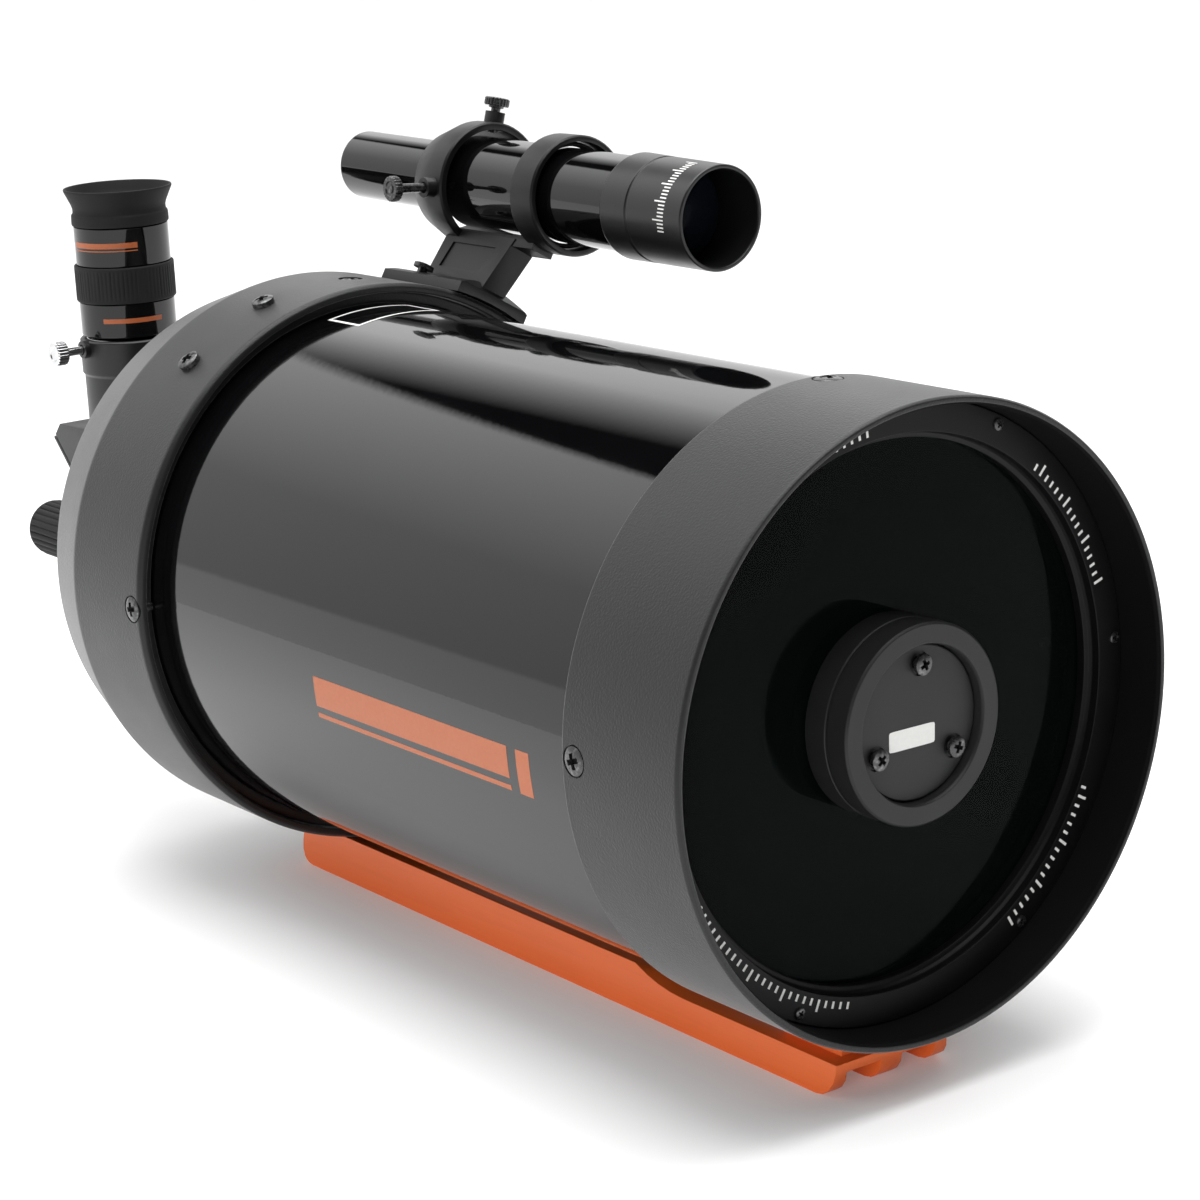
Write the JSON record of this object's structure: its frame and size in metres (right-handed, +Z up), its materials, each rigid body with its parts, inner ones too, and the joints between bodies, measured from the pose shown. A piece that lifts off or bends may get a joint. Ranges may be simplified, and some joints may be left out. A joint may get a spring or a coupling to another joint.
{
  "type": "schmidt cassegrain telescope",
  "caption": "Compact catadioptric telescope tube on a dovetail bar, with corrector plate, moving-mirror focuser, star diagonal, eyepiece and ring-mounted finder.",
  "frame": {"origin": "middle of the dovetail bar's flat underside, on its centre rib", "axes": "+Y along the optical axis from the front rim towards the eyepiece end, +Z up, and +X towards the finder's side"},
  "size_m": [0.1872, 0.4565, 0.2527],
  "materials": {
    "gloss_black_paint": "high gloss black enamel on aluminium",
    "cell_paint": "fine textured matt dark grey paint on cast aluminium",
    "dark_grey_paint": "satin dark grey",
    "satin_black_anodised": "satin black anodising",
    "matt_black": "flat black, anti-reflection",
    "black_steel": "blackened steel",
    "black_plastic": "fine textured moulding",
    "chrome": "polished plating",
    "rubber": "matt moulded rubber",
    "optical_glass": "anti-reflection coated",
    "mirror_coating": "aluminised glass",
    "orange_anodised": "satin orange anodising"
  },
  "bodies": {
    "tube_assembly": {"main_tube": "gloss_black_paint", "front_cell": "cell_paint", "rear_cell": "cell_paint", "front_cell_screw_1": "black_steel", "front_cell_screw_2": "black_steel", "front_cell_screw_3": "black_steel", "rear_cell_screw_1": "black_steel", "rear_cell_screw_2": "black_steel", "accessory_screw_1": "black_steel", "accessory_screw_2": "black_steel", "accessory_screw_3": "black_steel", "corrector_retaining_ring": "satin_black_anodised", "corrector_plate": "optical_glass", "corrector_gasket": "rubber", "secondary_housing": "dark_grey_paint", "collimation_plate": "dark_grey_paint", "secondary_baffle": "matt_black", "baffle_tube": "matt_black", "focus_bearing": "black_steel", "visual_back": "satin_black_anodised", "dovetail_bar": "orange_anodised", "dovetail_screw_1": "black_steel", "dovetail_screw_2": "black_steel", "dovetail_screw_3": "black_steel", "dovetail_screw_4": "black_steel", "finder_bracket": "satin_black_anodised", "finder_foot_screw_1": "black_steel", "finder_foot_screw_2": "black_steel"},
    "secondary": {"secondary_cell": "matt_black", "secondary_mirror": "mirror_coating"},
    "collimator_1": {"collimation_screw_1": "black_steel"},
    "collimator_2": {"collimation_screw_2": "black_steel"},
    "collimator_3": {"collimation_screw_3": "black_steel"},
    "focuser": {"focus_knob": "rubber", "focus_screw": "black_steel"},
    "primary": {"primary_mirror": "mirror_coating", "mirror_carrier": "matt_black", "mirror_lock_ring": "matt_black"},
    "rear_slip_ring": {"slip_ring": "satin_black_anodised"},
    "visual_back_lock": {"visual_back_screw": "chrome"},
    "star_diagonal": {"diagonal_nosepiece": "chrome", "diagonal_body": "black_plastic", "diagonal_mirror": "mirror_coating", "diagonal_cover": "black_plastic", "diagonal_socket": "satin_black_anodised"},
    "diagonal_lock": {"diagonal_thumbscrew": "chrome"},
    "eyepiece": {"eyepiece_barrel": "chrome", "eyepiece_body": "gloss_black_paint", "eyepiece_grip": "rubber", "eyecup": "rubber", "eye_lens": "optical_glass"},
    "finder_gimbal": {"finder_o_ring": "rubber"},
    "finder": {"finder_tube": "gloss_black_paint", "finder_eye_tube": "gloss_black_paint", "finder_eye_lens": "optical_glass"},
    "finder_front": {"finder_objective_cell": "satin_black_anodised", "finder_objective_lens": "optical_glass"},
    "finder_adjuster_1": {"finder_adjust_screw_1": "black_steel"},
    "finder_adjuster_2": {"finder_adjust_screw_2": "black_steel"},
    "finder_plunger": {"finder_spring_plunger": "black_steel"}
  },
  "joints": [
    {"name": "focus_turn", "type": "hinge", "parent": "tube_assembly", "child": "focuser", "pos_m": [-0.06, 0.2135, 0.1083], "axis": [0, 1, 0], "range_deg": [-3600, 3600]},
    {"name": "primary_slide", "type": "slide", "parent": "tube_assembly", "child": "primary", "axis": [0, 1, 0], "range_m": [-0.0075, 0.0075]},
    {"name": "collimation_turn_1", "type": "hinge", "parent": "tube_assembly", "child": "collimator_1", "pos_m": [0.00113, -0.147, 0.12146], "axis": [0, 1, 0], "range_deg": [-360, 360]},
    {"name": "collimation_turn_2", "type": "hinge", "parent": "tube_assembly", "child": "collimator_2", "pos_m": [-0.01456, -0.147, 0.0982], "axis": [0, 1, 0], "range_deg": [-360, 360]},
    {"name": "collimation_turn_3", "type": "hinge", "parent": "tube_assembly", "child": "collimator_3", "pos_m": [0.01343, -0.147, 0.09624], "axis": [0, 1, 0], "range_deg": [-360, 360]},
    {"name": "secondary_tilt", "type": "hinge", "parent": "tube_assembly", "child": "secondary", "pos_m": [0, -0.1232, 0.1053], "axis": [0.9976, 0, -0.0698], "range_deg": [-1.18, 1.18]},
    {"name": "slip_ring_turn", "type": "hinge", "parent": "tube_assembly", "child": "rear_slip_ring", "pos_m": [0, 0.2035, 0.1053], "axis": [0, 1, 0], "continuous": true},
    {"name": "visual_back_lock_turn", "type": "hinge", "parent": "tube_assembly", "child": "visual_back_lock", "pos_m": [0.01838, 0.2355, 0.12369], "axis": [0.7071, 0, 0.7071], "range_deg": [-720, 720]},
    {"name": "diagonal_turn", "type": "hinge", "parent": "tube_assembly", "child": "star_diagonal", "pos_m": [0, 0.2705, 0.1053], "axis": [0, 1, 0], "continuous": true},
    {"name": "diagonal_lock_turn", "type": "hinge", "parent": "star_diagonal", "child": "diagonal_lock", "pos_m": [-0.00148, 0.2705, 0.16178], "axis": [-0.9997, 0, -0.0262], "range_deg": [-720, 720]},
    {"name": "eyepiece_slide", "type": "slide", "parent": "star_diagonal", "child": "eyepiece", "axis": [-0.0262, 0, 0.9997], "range_m": [0, 0.024]},
    {"name": "finder_pan", "type": "hinge", "parent": "tube_assembly", "child": "finder_gimbal", "pos_m": [0.065, 0.0885, 0.2229], "axis": [0.4837, 0, 0.8752], "range_deg": [-1.2, 1.2]},
    {"name": "finder_tilt", "type": "hinge", "parent": "finder_gimbal", "child": "finder", "pos_m": [0.065, 0.0885, 0.2229], "axis": [0.8752, 0, -0.4837], "range_deg": [-1.2, 1.2]},
    {"name": "finder_focus_turn", "type": "hinge", "parent": "finder", "child": "finder_front", "pos_m": [0.065, 0.0885, 0.2229], "axis": [0, 0.9998, 0.0201], "range_deg": [-540, 540]},
    {"name": "finder_adjust_turn_1", "type": "hinge", "parent": "tube_assembly", "child": "finder_adjuster_1", "pos_m": [0.065, 0.1365, 0.2229], "axis": [0.2407, 0, 0.9706], "range_deg": [-720, 720]},
    {"name": "finder_adjust_turn_2", "type": "hinge", "parent": "tube_assembly", "child": "finder_adjuster_2", "pos_m": [0.065, 0.1365, 0.2229], "axis": [-0.9987, 0, 0.0511], "range_deg": [-720, 720]},
    {"name": "finder_plunger_slide", "type": "slide", "parent": "tube_assembly", "child": "finder_plunger", "axis": [0.5888, 0, -0.8083], "range_m": [-0.001, 0.002], "stiffness_N_per_m": 800}
  ],
  "couplings": [
    {"joint": "focus_turn", "follows": "primary_slide", "rad_per_m": 8377.6},
    {"joint": "collimation_turn_1", "follows": "secondary_tilt", "ratio": 305.36}
  ]
}
